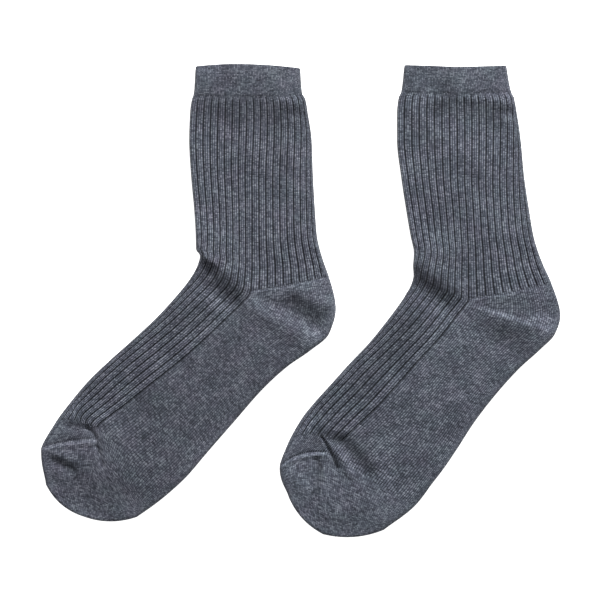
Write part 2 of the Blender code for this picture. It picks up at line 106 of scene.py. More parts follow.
# Sections from the cuff to the toe. Each runs from the front edge over the side line to the back edge.
# The wales past the front wale and the back wale crowd together as they turn under. A bow is how far
# each half of a section swells towards the toe.
Section = namedtuple(
    "Section", "name front side back front_wale back_wale front_bow back_bow", defaults=(75, 0, 0))
SOCK_1 = table(
    Section,
    ("cuff_top", (-73.1, 163.3), (-33.6, 164.8), (0.3, 161.9), -6, 68, -0.7, -0.4),
    ("cuff_end", (-74.5, 143.5), (-32.8, 142), (1.7, 144.3), -6, 68),
    ("leg_top", (-75.7, 140.7), (-32.6, 139.3), (3.7, 141), -6, 68),
    ("leg_full", (-77, 130.2), (-32.3, 128.8), (5.7, 130.2), -6, 68.4),
    ("leg_upper", (-77.6, 112), (-32.7, 111.3), (8.3, 112), -6, 70),
    ("leg_middle", (-76.3, 87.5), (-33.7, 87.5), (9.2, 87.5), -6, 71.5),
    ("leg_lower", (-74.1, 63), (-33.6, 63), (10.6, 63), -6, 72.7),
    ("leg_end", (-73, 44.8), (-33.6, 43.4), (12, 44.8), -5, 73.3),
    ("front_bulge", (-72.8, 35.9), (-33.6, 32.9), (14.1, 35), -2, 73.6),
    ("front_fold", (-70, 30.8), (-33.6, 23.8), (16.9, 25.9), 2, 74, 0, 0.5),
    ("heel_start", (-71.4, 25.2), (-34.6, 6.3), (20.4, 16.1), 4.5, 75, 0, 0.8),
    ("heel_turn", (-74.9, 18.2), (-36.7, 1.7), (25.2, -6.3), 5.3),
    ("heel_under", (-76.6, 15.6), (-38.6, 0), (20.3, -23.8), 5.6),
    ("heel_end", (-78.4, 12.9), (-40.6, -2.1), (8.3, -34.6), 6.2),
    ("arch_back", (-86, 3.5), (-49.1, -10.4), (-8.3, -46.2), 7.4),
    ("arch", (-99.4, -11.2), (-64.8, -25.5), (-24.6, -60.9), 8.6),
    ("arch_front", (-115.4, -26.3), (-82.9, -41.6), (-46.9, -86.1), 10),
    ("ball_back", (-133.7, -42.7), (-103.5, -58), (-65.2, -107.1), 10.9),
    ("ball", (-148.2, -56.7), (-121.1, -72.1), (-80, -124.3), 11),
    ("ribs_end", (-159.5, -70), (-142.1, -89.6), (-92.5, -135.8), 11, 75, 3.5, 0),
    ("toe_top", (-171.9, -86.8), (-142.1, -93.8), (-98.1, -140.4), 11),
    ("toe_seam", (-181.3, -105), (-142.1, -98), (-103.7, -144.6), 11, 75, -1.4, 0),
    ("toe_end", (-177.8, -129.2), (-152.2, -151.4), (-114.2, -151.9), 11, 75, 3.5, 3.4),
)
SOCK_2 = table(
    Section,
    ("cuff_top", (73, 164.2), (112.3, 162.9), (144.5, 163.8), -6, 64.2),
    ("cuff_end", (70.7, 145.3), (114.3, 144.2), (148, 145.3), -6, 64.2),
    ("leg_top", (69, 141.8), (114.6, 140.7), (149.7, 141.8), -6, 64.2),
    ("leg_full", (67.9, 130.2), (114.9, 129.5), (152, 130.2), -6, 65.3),
    ("leg_upper", (67.9, 112), (115.1, 112), (154.6, 112), -6, 67.6),
    ("leg_middle", (70.6, 87.5), (114.9, 87.5), (156.9, 87.5), -6, 70.2),
    ("leg_lower", (74.3, 63), (116.2, 63), (160.5, 63), -6, 73),
    ("leg_end", (77.4, 44.8), (117.1, 43.4), (163.6, 44.8), -5, 74),
    ("front_bulge", (79.7, 32.9), (117.6, 30.8), (167.1, 32.9), -2, 74.5),
    ("front_fold", (79.1, 23.8), (117.6, 15.4), (170.7, 23.8), 2, 75, 0, 0.5),
    ("heel_start", (79.5, 17.5), (117.6, 0.7), (176.3, 11.2), 4.5, 75, 0, 0.8),
    ("heel_turn", (77, 9.1), (114.8, -4.2), (182.4, -11.2), 5.3),
    ("heel_under", (74.7, 5.3), (112.4, -7.4), (178.5, -23.8), 5.6),
    ("heel_end", (72.4, 1.4), (109.9, -10.5), (169.3, -33.6), 6.4),
    ("arch_back", (60.7, -14.7), (97, -26.9), (153.9, -47.6), 8),
    ("arch", (47.6, -30.8), (82.2, -42.8), (136.8, -66.5), 10),
    ("arch_front", (34.9, -44.1), (70.1, -56.7), (121.7, -86.1), 11.4),
    ("ball_back", (21.7, -58.8), (53.6, -74.8), (109.5, -105), 12),
    ("ball", (9.1, -72.8), (40.4, -87.3), (99.4, -119.7), 12.2),
    ("ribs_end", (1.4, -82.6), (28.3, -99.3), (91.8, -129.5), 12.2, 75, 1.7, 0),
    ("toe_top", (-8.7, -100.8), (24.5, -103.6), (86, -137.6), 12.2, 75, -2, 0),
    ("toe_seam", (-14.3, -116.8), (21.7, -108.5), (80, -144.6), 12.2, 75, -5.6, 0),
    ("toe_end", (-7.8, -138.3), (16.1, -164), (58.7, -160.9), 12.2, 75, 3.1, 3.5),
)

# Ridges (height above zero) and hollows (below zero) of the upper layer. A fold falls away over one
# width on its left and one on its right, seen along it from start to end, and swells left by its bow.
Fold = namedtuple("Fold", "name start end left_width right_width height bow", defaults=(0,))
FOLDS_1 = table(
    Fold,
    ("cuff seam", (-73, 142.8), (1, 143), 1.2, 2, -0.5, -1.2),
    ("cuff dent", (-54, 157), (-44, 147), 6, 6, -0.6),
    ("cuff swell", (-24, 160), (-19, 150), 6, 6, 0.6),
    ("cuff side dent", (-12, 155), (-8, 147), 4, 4, -0.5),
    ("leg top swell", (-14, 141), (-3, 136.5), 3, 3.5, 0.6),
    ("leg top pull", (-18, 133), (2, 128), 3.5, 4.5, -0.7),
    ("leg wave", (-44, 100), (-20, 104), 9, 9, 0.5),
    ("leg dent", (-70, 66), (-50, 60), 8, 8, -0.5),
    ("leg swell", (-72, 42), (-52, 36), 12, 6, 1),
    ("front bulge", (-71, 33.8), (-61.5, 26.8), 4.5, 1.4, 1.6),
    ("bulge crease", (-71, 31.4), (-62.5, 25.2), 1.1, 0.8, 0.7, 0.6),
    ("bulge shade", (-69.5, 25.5), (-61.5, 19), 4, 4.5, -1.6),
    ("ankle hollow", (-68, 12), (-49, -2), 8, 7, -2.1),
    ("ankle ridge", (-58, 26.5), (-40, 11.5), 8, 7.5, 2),
    ("instep swell", (-76, -2), (-64, -3.5), 6, 7, 0.5),
    ("foot fullness", (-84, -58), (-40, -22), 20, 20, 0.7),
    ("heel gore", (-33, -6), (8, -27), 4.5, 9, 1.6),
    ("gore valley", (-27, 0.5), (11, -19), 4.5, 3.5, -0.9),
    ("heel hollow", (-7, -3.5), (10.5, -15), 7, 5.5, -1.9),
    ("heel rim", (-1, 5), (17, -3), 6, 6, 1.6),
    ("toe fullness", (-165, -116), (-130, -114), 12, 16, 1),
    ("toe seam groove", (-180.5, -103.2), (-145, -96.8), 1.2, 0.9, -0.6, 1),
    ("toe seam", (-181, -105.3), (-144, -99.2), 1, 2.2, 1, 1),
    ("toe corner crease", (-149, -90), (-142.6, -102.5), 1.5, 1.4, -1.5, 2.2),
    ("toe corner run", (-142.2, -103.5), (-138, -116), 1.6, 1.6, -0.9, 0.4),
    ("toe corner ridge", (-140.5, -93), (-137.5, -104), 2.2, 1.8, 0.7, 1),
    ("toe hollow", (-171.5, -113), (-161, -118.5), 3.6, 4.5, -2),
    ("toe hollow rim", (-171, -107.5), (-158, -112), 3, 3.4, 0.9),
    ("rib ends", (-163, -88), (-146, -90.5), 3, 3.5, -1.2),
    ("rib swell", (-150, -70), (-138, -80), 4, 5, 0.6),
)
FOLDS_2 = table(
    Fold,
    ("cuff seam", (71, 144.8), (147, 144.8), 1.2, 2, -0.5, -1.2),
    ("cuff dent", (84, 158), (92, 148), 6, 6, -0.6),
    ("cuff swell", (116, 160), (124, 150), 6, 6, 0.5),
    ("leg top swell", (131, 141), (146, 136.5), 3, 3.5, 0.7),
    ("leg top pull", (106, 138), (148, 130), 4, 4.5, -1.2),
    ("leg front pull", (72, 128), (83, 122.5), 3.5, 4, -0.6),
    ("leg wave", (95, 100), (120, 96), 9, 9, 0.5),
    ("leg dent", (128, 60), (146, 52), 8, 8, -0.5),
    ("leg swell", (80, 38), (98, 32), 12, 6, 0.9),
    ("ankle hollow", (76, 12.5), (101, -6.5), 8, 7, -2.2),
    ("ankle ridge", (84, 25.5), (109, 6.5), 8, 7.5, 2),
    ("instep swell", (66, -9), (88, -12), 7, 7, 0.7),
    ("foot fullness", (60, -74), (112, -34), 20, 20, 0.7),
    ("heel fullness", (140, -16), (162, -22), 8, 10, 0.6),
    ("heel gore", (133, -9.4), (176, -22.2), 2, 8, 2),
    ("heel hollow", (146, -2.5), (170, -10), 4.5, 4, -0.7),
    ("sole dip", (144, -27), (161, -37), 7, 8, -1.2),
    ("toe fullness", (4, -128), (50, -138), 14, 14, 0.9),
    ("toe seam groove", (-13.5, -116), (16.5, -106.4), 1.1, 0.9, -0.9, 3.2),
    ("toe seam", (-14, -117.8), (16.5, -108.4), 0.9, 1.8, 1.1, 3.2),
    ("toe pleat groove", (15, -96), (25.6, -117.5), 1.2, 1.2, -1.5, 1),
    ("toe pleat", (17, -97), (34.5, -120), 3, 4.2, 1.8, 1.6),
    ("toe hollow", (29, -99), (46, -120), 6, 3.8, -1.9),
    ("toe wrinkle", (12, -112), (14.5, -127), 1.6, 2.6, -1.3, 0.8),
)

# Strokes of painted light and shade in the same terms: painted highlight (above zero) on ridges, crests
# and edges, and painted shade (below zero) in hollows, under ridges and where the knit is gathered
SHADES_1 = table(
    Fold,
    ("gathered top", (-72, 132), (2, 132), 8, 9, -0.32),
    ("gathered back", (-18, 128), (-11, 96), 7, 9, -0.28),
    ("gathered middle", (-46, 124), (-38, 100), 8, 9, -0.18),
    ("under the cuff", (-68, 140.5), (-20, 140.5), 3, 4, -0.28),
    ("cuff corner", (-72, 162), (-58, 161), 4, 5, 0.5),
    ("cuff back", (-5, 162), (-3, 144), 4, 5, 0.25),
    ("bulge", (-68, 50), (-50, 44), 8, 8, 0.14),
    ("ankle", (-65, 19.5), (-43, 0.5), 7, 7.5, -0.4),
    ("instep", (-92, -16), (-68, -14), 9, 9, -0.22),
    ("heel hollow", (-3, -2), (8, -12), 8, 7, -0.36),
    ("heel seam", (-34, 5.6), (20, 15.4), 0.7, 0.7, 0.35, -0.9),
    ("gore end", (8, -24), (16, -27), 4, 5, 0.22),
    ("toe seam", (-180, -104), (-146, -99.5), 1, 5, 0.25, 1),
    ("toe hollow", (-169, -112), (-160, -116.5), 3, 3, -0.4),
    ("toe shade", (-152, -124), (-112, -134), 7, 8, -0.26, -3),
    ("toe end", (-175, -131), (-152, -150), 4.5, 3, 0.5, -3.5),
    ("toe end back", (-151, -151), (-117, -151.5), 4.5, 3, 0.36, -3.4),
    ("toe side", (-156, -73), (-176, -97), 5, 5, 0.32),
    ("seam end", (-161, -102), (-151, -104.5), 4, 4, 0.24),
    ("sole edge", (-46, -84), (-92, -133), 4, 4, 0.2),
    ("rib ends", (-157, -75), (-122, -86), 7, 7, 0.24),
)
SHADES_2 = table(
    Fold,
    ("cuff middle", (104, 163), (103, 146), 7, 7, -0.26),
    ("cuff back", (146, 162), (147, 147), 4, 5, 0.22),
    ("gathered top", (98, 136), (138, 130), 6, 7, -0.48),
    ("gathered front", (76, 125), (92, 112), 7, 8, -0.26),
    ("leg middle", (88, 74), (108, 66), 7, 7, -0.14),
    ("bulge", (82, 54), (94, 42), 7, 7, 0.16),
    ("ankle", (85, 16), (103, 4), 8, 7, -0.46),
    ("ankle end", (106, 1), (116, -5), 5, 5, 0.3),
    ("front edge", (75.5, 42), (75, 23), 4, 4, 0.3),
    ("instep", (42, -60), (76, -16), 10, 10, -0.26),
    ("heel seam", (118, 0.1), (176, 10.4), 0.7, 0.7, 0.35, -0.9),
    ("gore crest", (137, -9.3), (173, -20.4), 1.1, 1.2, 0.28, -0.4),
    ("heel back", (166, -12), (180, -17), 6, 4, 0.42),
    ("heel top", (164, 6.5), (180, 3), 4, 5, 0.22),
    ("heel hollow", (142, -3), (155, -8), 4.5, 4, -0.22),
    ("heel underside", (162, -27.5), (175, -22.5), 3, 3, 0.32),
    ("under the gore", (138, -24), (158, -36), 7, 7, -0.32),
    ("toe seam", (-6, -116), (20, -104), 5, 5, 0.2, 3),
    ("toe pleat", (18, -98), (36, -120), 2.2, 2.8, 0.26, 1.6),
    ("toe pleat line", (15.4, -95), (25.6, -118), 0.9, 0.9, -0.45, 1),
    ("toe swirl", (1, -124), (8, -130.5), 2.2, 2.5, 0.2, -1.5),
    ("toe hollow", (30, -96), (51, -118), 4, 4.5, -0.4),
    ("toe wrinkle", (12.5, -112), (12.5, -134), 2, 3.4, -0.44, 1.4),
    ("toe end", (-5.5, -139.5), (8, -155), 4, 3, 0.18, -2),
    ("toe side", (8, -84), (-9, -106), 5, 4.5, 0.32),
    ("rib ends", (15, -92.5), (27, -96.5), 3.5, 3.5, -0.58),
    ("ball", (58, -111), (62, -127), 6, 7, 0.2),
    ("toe shade", (14, -153), (36, -157), 5, 5, -0.22),
    ("sole edge", (120, -89), (99, -119), 4, 4, 0.18),
)

# Slow waves of cloth laid down by hand: their length, heading in degrees, start and height
Wave = namedtuple("Wave", "length heading start height")
WAVES = table(
    Wave,
    (61, 20, 0.3, 0.22),
    (43, 75, 1.9, 0.2),
    (29, 130, 4.1, 0.14),
    (19, 50, 2.7, 0.1),
    (13, 105, 5.3, 0.07),
)

# Places of the mesh columns in wales, within one rib from its groove, and near the front edge. The
# under layer keeps every column up to the close wales. Three wales fill a rib, and the fourth is drawn
# in to a share of its width at each side of the groove.
RIB_COLUMNS = (0.0, 0.15, 0.4, 0.77, 1.38, 2.0, 2.62, 3.23, 3.6, 3.85)
DRAWN_IN = 0.15
EDGE_COLUMNS = (0.0, 0.05, 0.15, 0.35, 0.65, 1.0, 1.45, 2.0, 2.5, 3.0, 3.5)
CLOSE_WALES = 1.45
BACK_EDGE_SHARES = (0.6, 0.3, 0.1, 0.0)
LAST_BACK_WALE = 75.0
TOE_EDGE_MM = (1.6, 1.15, 0.8, 0.5, 0.25, 0.08, 0.0)

# The stretches of each piece of the skin: first section, last section, halves of the ring
PIECES = {
    "cuff": (("cuff_top", "cuff_end", ("front", "back")),),
    "tube": (
        ("cuff_end", "heel_start", ("front", "back")),
        ("heel_start", "heel_end", ("front",)),
        ("heel_end", "toe_seam", ("front", "back")),
    ),
    "heel": (("heel_start", "heel_end", ("back",)),),
    "toe": (("toe_seam", "toe_end", ("front", "back")),),
}

# What each point of the skin is marked with for its material, which paints shade in the grooves and at
# the rim, light on the ribs, and the light and shade of the folds
MARKS = ("groove", "rib", "rim", "shade")

# Where a section's values lie in its row of numbers
FRONT, SIDE, BACK, FRONT_BOW, BACK_BOW, FRONT_WALE, BACK_WALE = 0, 2, 4, 6, 7, 8, 9

# Rows from one point of the outline to the next, points on each half of the toe's end, and how many
# points are measured from it at a time
OUTLINE_ROWS = 4
ARC_POINTS = 33
BATCH = 4000


def curve_slopes(stations, values):
    """Slopes of a smooth curve through the values that never overshoots them."""
    steps = np.diff(stations)[:, None]
    rises = np.diff(values, axis=0) / steps
    slopes = np.zeros_like(values)
    same_way = rises[:-1] * rises[1:] > 0
    before, after = steps[:-1], steps[1:]
    weight_a, weight_b = 2 * after + before, after + 2 * before
    safe_a = np.where(same_way, rises[:-1], 1.0)
    safe_b = np.where(same_way, rises[1:], 1.0)
    blend = (weight_a + weight_b) / (weight_a / safe_a + weight_b / safe_b)
    slopes[1:-1] = np.where(same_way, blend, 0.0)
    slopes[0], slopes[-1] = rises[0], rises[-1]
    return slopes


def smoothstep(low, high, values):
    """Soft step from 0 at low to 1 at high."""
    t = np.clip((np.asarray(values, float) - low) / (high - low), 0, 1)
    return t * t * (3.0 - 2.0 * t)


def rounded(distance, radius):
    """Share of the full height that a rounded edge has reached at a distance from it."""
    x = np.clip(distance / radius, 0, 1)
    return np.sqrt(1.0 - (1.0 - x) ** 2)


def crowded(wales, turned):
    """Distance from an edge at which a wale lies, when that many wales have turned under there."""
    return CROWD_WALES * np.log1p(np.exp((wales - turned) / CROWD_WALES))


def drawn_in(wales):
    """Wale numbers of the stitches on a rib, whose fourth wale is drawn in beside the groove."""
    groove = np.floor(wales / RIB_WALES) * RIB_WALES
    places = (0.0, DRAWN_IN, RIB_WALES - DRAWN_IN, RIB_WALES)
    numbers = (0.0, 0.5, RIB_WALES - 0.5, RIB_WALES)
    return groove + np.interp(wales - groove, places, numbers)


def front_share(wale, front_wale):
    """Share of the front half between the front edge and a wale."""
    least = crowded(0.0, front_wale)
    return (crowded(wale, front_wale) - least) / (crowded(SIDE_WALE, front_wale) - least)


def back_share(wale, back_wale):
    """Share of the back half between the side line and a wale."""
    turned = TURN_WALE - back_wale
    least = crowded(0.0, turned)
    whole = crowded(TURN_WALE - SIDE_WALE, turned) - least
    return 1.0 - (crowded(TURN_WALE - wale, turned) - least) / whole


def edge_moves(values):
    """How far the front edge, the side line and the back edge run from each row to the next."""
    return np.linalg.norm(np.diff(values[:, :FRONT_BOW], axis=0).reshape(-1, 3, 2), axis=2)


def run_up(steps):
    """Sum of the steps before each row."""
    return np.concatenate([[0.0], np.cumsum(steps)])


def half_line(values, half, t):
    """Points (rows, columns, 2) at the shares t of one half of each section."""
    start, end, bow = (FRONT, SIDE, FRONT_BOW) if half == "front" else (SIDE, BACK, BACK_BOW)
    start, end, bow = values[:, None, start:start + 2], values[:, None, end:end + 2], values[:, bow, None]
    way = end - start
    length = np.linalg.norm(way, axis=2, keepdims=True)
    to_toe = np.concatenate([way[..., 1:], -way[..., :1]], axis=2) / length
    return start + way * t[..., None] + to_toe * (bow * 4 * t * (1 - t))[..., None]


class Skin:
    """Grid of points of one sock's outer skin, all round from the under side line, and its marks."""

    def __init__(self, sections, folds, shades):
        self.folds = folds
        self.shades = shades
        self.values = np.array([
            [*s.front, *s.side, *s.back, s.front_bow, s.back_bow, s.front_wale, s.back_wale]
            for s in sections
        ])
        self.names = [section.name for section in sections]
        moves = edge_moves(self.values)
        self.stations = run_up(moves.mean(axis=1))
        self.slopes = curve_slopes(self.stations, self.values)
        self.set_rows(moves.max(axis=1))
        self.set_columns()
        self.place()

    def set_rows(self, longest):
        """Stations of the rows, with one on every section and close rows at the closed toe."""
        rows = []
        self.row_of = {}
        for name, start, end, far in zip(self.names, self.stations, self.stations[1:], longest):
            self.row_of[name] = len(rows)
            count = math.ceil(far / ROW_STEP)
            rows += [start + (end - start) * k / count for k in range(count)]
        toe = self.stations[-1]
        rows = [row for row in rows if row < toe - TOE_EDGE_MM[0]]
        rows += [toe - gap for gap in TOE_EDGE_MM]
        self.row_of["toe_end"] = len(rows) - 1
        self.rows = np.array(rows)

    def set_columns(self):
        """Layer, half and wale of each ring column. A gap is a share of what lies past the last wale."""
        grooves = range(RIB_WALES, math.ceil(LAST_BACK_WALE), RIB_WALES)
        ribs = [groove + step for groove in grooves for step in RIB_COLUMNS]
        front = [*EDGE_COLUMNS, *(wale for wale in ribs if wale < SIDE_WALE)]
        back = [wale for wale in ribs if SIDE_WALE <= wale <= LAST_BACK_WALE]
        coarse_front = [wale for k, wale in enumerate(front) if k % 2 == 0 or wale < CLOSE_WALES]
        coarse_back = back[::2]
        edge = [("gap", gap) for gap in BACK_EDGE_SHARES]
        ring = [("under", "front", ("wale", wale)) for wale in [SIDE_WALE, *reversed(coarse_front[1:])]]
        self.front_edge = len(ring)
        ring += [("top", "front", ("wale", wale)) for wale in front]
        self.side_line = len(ring)
        ring += [("top", "back", column) for column in [("wale", wale) for wale in back] + edge]
        self.back_edge = len(ring) - 1
        under_back = [("wale", wale) for wale in coarse_back[1:]] + edge[:-1]
        ring += [("under", "back", column) for column in reversed(under_back)]
        self.ring = ring

    def sections_at(self, stations):
        """Section values (rows, values) at stations along the sock."""
        k = np.clip(np.searchsorted(self.stations, stations) - 1, 0, len(self.stations) - 2)
        step = (self.stations[k + 1] - self.stations[k])[:, None]
        t = (stations - self.stations[k])[:, None] / step
        a, b = self.values[k], self.values[k + 1]
        slope_a, slope_b = self.slopes[k] * step, self.slopes[k + 1] * step
        return ((1 + 2 * t) * (1 - t) ** 2 * a + t * (1 - t) ** 2 * slope_a
                + t * t * (3 - 2 * t) * b + t * t * (t - 1) * slope_b)

    def columns_at(self, values, numbers):
        """Shares along the half and wales (rows, columns) of ring columns."""
        shares, wales = [], []
        front_wale, back_wale = values[:, FRONT_WALE], values[:, BACK_WALE]
        past_last = 1.0 - back_share(LAST_BACK_WALE, back_wale)
        for number in numbers:
            layer, half, (kind, amount) = self.ring[number]
            wale = amount
            if kind == "gap":
                share = 1.0 - amount * past_last
                wale = TURN_WALE - amount * (TURN_WALE - LAST_BACK_WALE)
            elif half == "back":
                share = back_share(amount, back_wale)
            elif layer == "under":
                share = np.full(len(values), amount / SIDE_WALE)
            else:
                share = front_share(amount, front_wale)
            shares.append(share)
            wales.append(np.full(len(values), float(wale)))
        return np.stack(shares, axis=1), np.stack(wales, axis=1)

    def outline(self, values):
        """Outline from the cuff down the front edge, round the toe and up the back edge."""
        toe = self.sections_at(self.stations[-1:])
        share = np.linspace(0.0, 1.0, ARC_POINTS)[None, 1:]
        arc = np.concatenate([half_line(toe, "front", share)[0], half_line(toe, "back", share)[0][:-1]])
        front, back = slice(FRONT, SIDE), slice(BACK, FRONT_BOW)
        down, up = values[::OUTLINE_ROWS, front], values[::OUTLINE_ROWS, back]
        return np.concatenate([down, toe[:, front], arc, toe[:, back], up[::-1]])

    @staticmethod
    def edge_distance(points, outline):
        """Distance of each point from the outline."""
        start, step = outline[:-1], np.diff(outline, axis=0)
        length = (step ** 2).sum(axis=1) + 1e-12
        flat = points.reshape(-1, 2)
        nearest = np.empty(len(flat))
        for first in range(0, len(flat), BATCH):
            offset = flat[first:first + BATCH, None] - start
            t = np.clip((offset * step).sum(axis=2) / length, 0, 1)
            gap = ((offset - t[..., None] * step) ** 2).sum(axis=2)
            nearest[first:first + BATCH] = np.sqrt(gap.min(axis=1))
        return nearest.reshape(points.shape[:-1])

    @staticmethod
    def swell(points, folds):
        """Sum of the ridges and hollows at the points."""
        total = np.zeros(points.shape[:-1])
        for fold in folds:
            start, end = np.array(fold.start), np.array(fold.end)
            length = np.linalg.norm(end - start)
            along = (end - start) / length
            across = np.array((-along[1], along[0]))
            t = (points - start) @ along / length
            bow = fold.bow * 4 * np.clip(t * (1 - t), 0.0, None)
            side = (points - start) @ across - bow
            past = np.clip(np.maximum(-t, t - 1), 0.0, None) * length
            width = np.where(side > 0, fold.left_width, fold.right_width)
            reach = max(fold.left_width, fold.right_width)
            total += fold.height * np.exp(-(side / width) ** 2 - (past / reach) ** 2)
        return total

    def fold_height(self, points):
        """Height that the folds and the slow waves add to the upper layer."""
        total = self.swell(points, self.folds)
        for wave in WAVES:
            heading = math.radians(wave.heading)
            run = points @ np.array((math.cos(heading), math.sin(heading)))
            total += wave.height * np.sin(run * 2 * math.pi / wave.length + wave.start)
        return total

    def rib_shares(self, wales, half, values):
        """How strongly ribs and grooves stand out: neither on the plain parts and at the two edges."""
        row = self.rows[:, None]
        start = self.stations[1]
        leg_end, foot_end = (self.stations[self.names.index(name)] for name in ("heel_start", "ribs_end"))
        run_on = np.clip((SIDE_WALE - wales) / (SIDE_WALE - RUN_ON_WALE), 0, 1)
        foot_end = foot_end + RIB_RUN_ON * run_on
        begin = smoothstep(start + RIB_RISE[0], start + RIB_RISE[1], row)
        in_leg = begin * (1.0 - smoothstep(leg_end - LEG_RIB_END, leg_end, row))
        in_foot = begin * (1.0 - smoothstep(foot_end - FOOT_RIB_END, foot_end, row))
        in_front = half == "front"
        past = values[:, FRONT_WALE, None] - wales if in_front else wales - values[:, BACK_WALE, None]
        pitch = 1.0 / (1.0 + np.exp(past / CROWD_WALES))
        shown = (in_foot if in_front else in_leg) * smoothstep(*RIB_PITCH, pitch)
        return shown, shown if in_front else np.where(wales < SIDE_WALE + 1, in_foot, shown)

    def place(self):
        """Points, wales, grooves and courses of the whole grid."""
        sizes = bpy.context.scene.sock_sizes
        crown, groove, stitch = sizes.rib_crown / MM, sizes.rib_groove / MM, sizes.wale_relief / MM
        values = self.sections_at(self.rows)
        outline = self.outline(values)
        count = len(self.ring)
        flat = np.zeros((len(self.rows), count, 2))
        self.wales, ribbing, grooving = np.zeros((3, len(self.rows), count))
        for half in ("front", "back"):
            numbers = [k for k, column in enumerate(self.ring) if column[1] == half]
            share, wales = self.columns_at(values, numbers)
            flat[:, numbers] = half_line(values, half, share)
            self.wales[:, numbers] = wales
            ribbing[:, numbers], grooving[:, numbers] = self.rib_shares(wales, half, values)
        distance = self.edge_distance(flat, outline)
        distance[:, [self.front_edge, self.back_edge]] = 0.0
        distance[-1] = 0.0
        on_top = np.array([layer == "top" for layer, _, _ in self.ring])[None, :]
        share = rounded(distance, EDGE_RADIUS)
        gap = np.abs((self.wales + RIB_WALES / 2) % RIB_WALES - RIB_WALES / 2)
        grooves = np.exp(-(gap / GROOVE_WALES) ** 2) * grooving
        # Painted light and shade of the folds and hollows, from the shade strokes, for the material
        shade = self.swell(flat, self.shades) * on_top
        self.marks = np.stack([grooves, ribbing, 1.0 - share, shade], axis=-1)
        self.wales = self.wales + ribbing * (drawn_in(self.wales) - self.wales)
        rib = crown * ribbing * (1.0 - np.exp(-(gap / SHOULDER_WALES) ** 2)) - groove * grooves
        rib += stitch * np.cos(2 * math.pi * self.wales) * ribbing * (1.0 - grooves)
        folds = self.fold_height(flat) * np.minimum(distance / FOLD_EDGE, 1.0)
        lifted = np.clip(-UNDER_SHARE * folds, 0.0, None)
        under = EDGE_RADIUS - EDGE_RADIUS * share + (lifted + UNDER_GROOVE * groove * grooves) * share
        top = EDGE_RADIUS + EDGE_RADIUS * share + (folds + rib) * share
        top = np.maximum(top, EDGE_RADIUS + (LEAST_LOFT - EDGE_RADIUS) * share)
        height = np.where(on_top, top, under)
        self.flat = flat
        self.points = np.concatenate([flat - np.array(PAIR_MIDDLE), height[..., None]], axis=2) * MM
        self.set_courses(values)

    def set_courses(self, values):
        """Wale and course numbers of the stitches. The heel's courses are counted from both its ends."""
        ring = [*self.ring, self.ring[0]]
        self.wale_map = np.concatenate([self.wales, self.wales[:, :1]], axis=1)
        for k, (layer, half, _) in enumerate(ring):
            if layer == "under" and half == "front" and k < len(self.ring):
                self.wale_map[:, k] *= -1
            elif layer == "under":
                self.wale_map[:, k] = 2 * TURN_WALE - self.wale_map[:, k]
        moves = edge_moves(values)
        front = run_up(moves[:, :2].mean(axis=1))[:, None]
        back = run_up(moves[:, 1:].mean(axis=1))[:, None]
        columns = np.ones((1, len(ring)))
        steps = np.linalg.norm(np.diff(self.flat, axis=0), axis=2)
        along = np.concatenate([np.zeros((1, steps.shape[1])), np.cumsum(steps, axis=0)])
        along = np.concatenate([along, along[:, :1]], axis=1)
        start, end = self.row_of["heel_start"], self.row_of["heel_end"]
        lengths = (front * columns, back * columns, along - along[start], along - along[end])
        self.course_maps = [length / COURSE_MM for length in lengths]

    def cells(self, piece):
        """Which cells (rows, columns) belong to a piece."""
        mask = np.zeros((len(self.rows) - 1, len(self.ring)), bool)
        for first, last, halves in PIECES[piece]:
            rows = slice(self.row_of[first], self.row_of[last])
            if "front" in halves:
                mask[rows, :self.side_line] = True
            if "back" in halves:
                mask[rows, self.side_line:] = True
        return mask

    def cell_courses(self, piece, rows, columns, corners):
        """Course numbers at the corners of cells."""
        front, back, heel_upper, heel_lower = (courses[corners] for courses in self.course_maps)
        if piece == "heel":
            middle = (self.row_of["heel_start"] + self.row_of["heel_end"]) // 2
            back = np.where((rows < middle)[:, None], heel_upper, heel_lower)
        return np.where((columns < self.side_line)[:, None], front, back)

    def piece_mesh(self, piece):
        """Points, faces, stitch map and marks of one piece."""
        rows, columns = np.nonzero(self.cells(piece))
        corner_rows = rows[:, None] + np.array([0, 1, 1, 0])
        corner_columns = columns[:, None] + np.array([0, 0, 1, 1])
        count = len(self.ring)
        corners = corner_rows * count + corner_columns % count
        used, faces = np.unique(corners, return_inverse=True)
        courses = self.cell_courses(piece, rows, columns, (corner_rows, corner_columns))
        stitches = np.stack([self.wale_map[corner_rows, corner_columns], courses], axis=-1)
        return (self.points.reshape(-1, 3)[used], faces.reshape(-1, 4), stitches.reshape(-1, 2),
                self.marks.reshape(-1, len(MARKS))[used])

    def normals(self, row):
        """Outward normals of the ring at a row."""
        points = self.points
        around = np.roll(points[row], -1, axis=0) - np.roll(points[row], 1, axis=0)
        along = points[min(row + 1, len(points) - 1)] - points[max(row - 1, 0)]
        normal = np.cross(along, around)
        return normal / np.linalg.norm(normal, axis=1, keepdims=True)

    def flat_area(self, piece):
        """Area of a piece's cloth in square metres, laid out without ribs and folds."""
        rows, columns = np.nonzero(self.cells(piece))
        nexts = (columns + 1) % len(self.ring)
        a, b = self.flat[rows, columns], self.flat[rows + 1, columns]
        c, d = self.flat[rows + 1, nexts], self.flat[rows, nexts]
        p, q = c - a, d - b
        return float(np.abs(p[:, 0] * q[:, 1] - p[:, 1] * q[:, 0]).sum() / 2) * MM * MM


@functools.cache
def skin(number):
    """Skin of sock 1 or sock 2."""
    return Skin(SOCK_1, FOLDS_1, SHADES_1) if number == 1 else Skin(SOCK_2, FOLDS_2, SHADES_2)


def linear(hex_colour):
    """Linear colour of an sRGB hex value such as #8a8f99."""
    parts = [int(hex_colour[k:k + 2], 16) / 255 for k in (1, 3, 5)]
    return tuple(part / 12.92 if part <= 0.04045 else ((part + 0.055) / 1.055) ** 2.4 for part in parts)


def size_property(name, description, millimetres):
    """Property for one size."""
    return bpy.props.FloatProperty(
        name=name, description=description, default=millimetres * MM, unit="LENGTH")


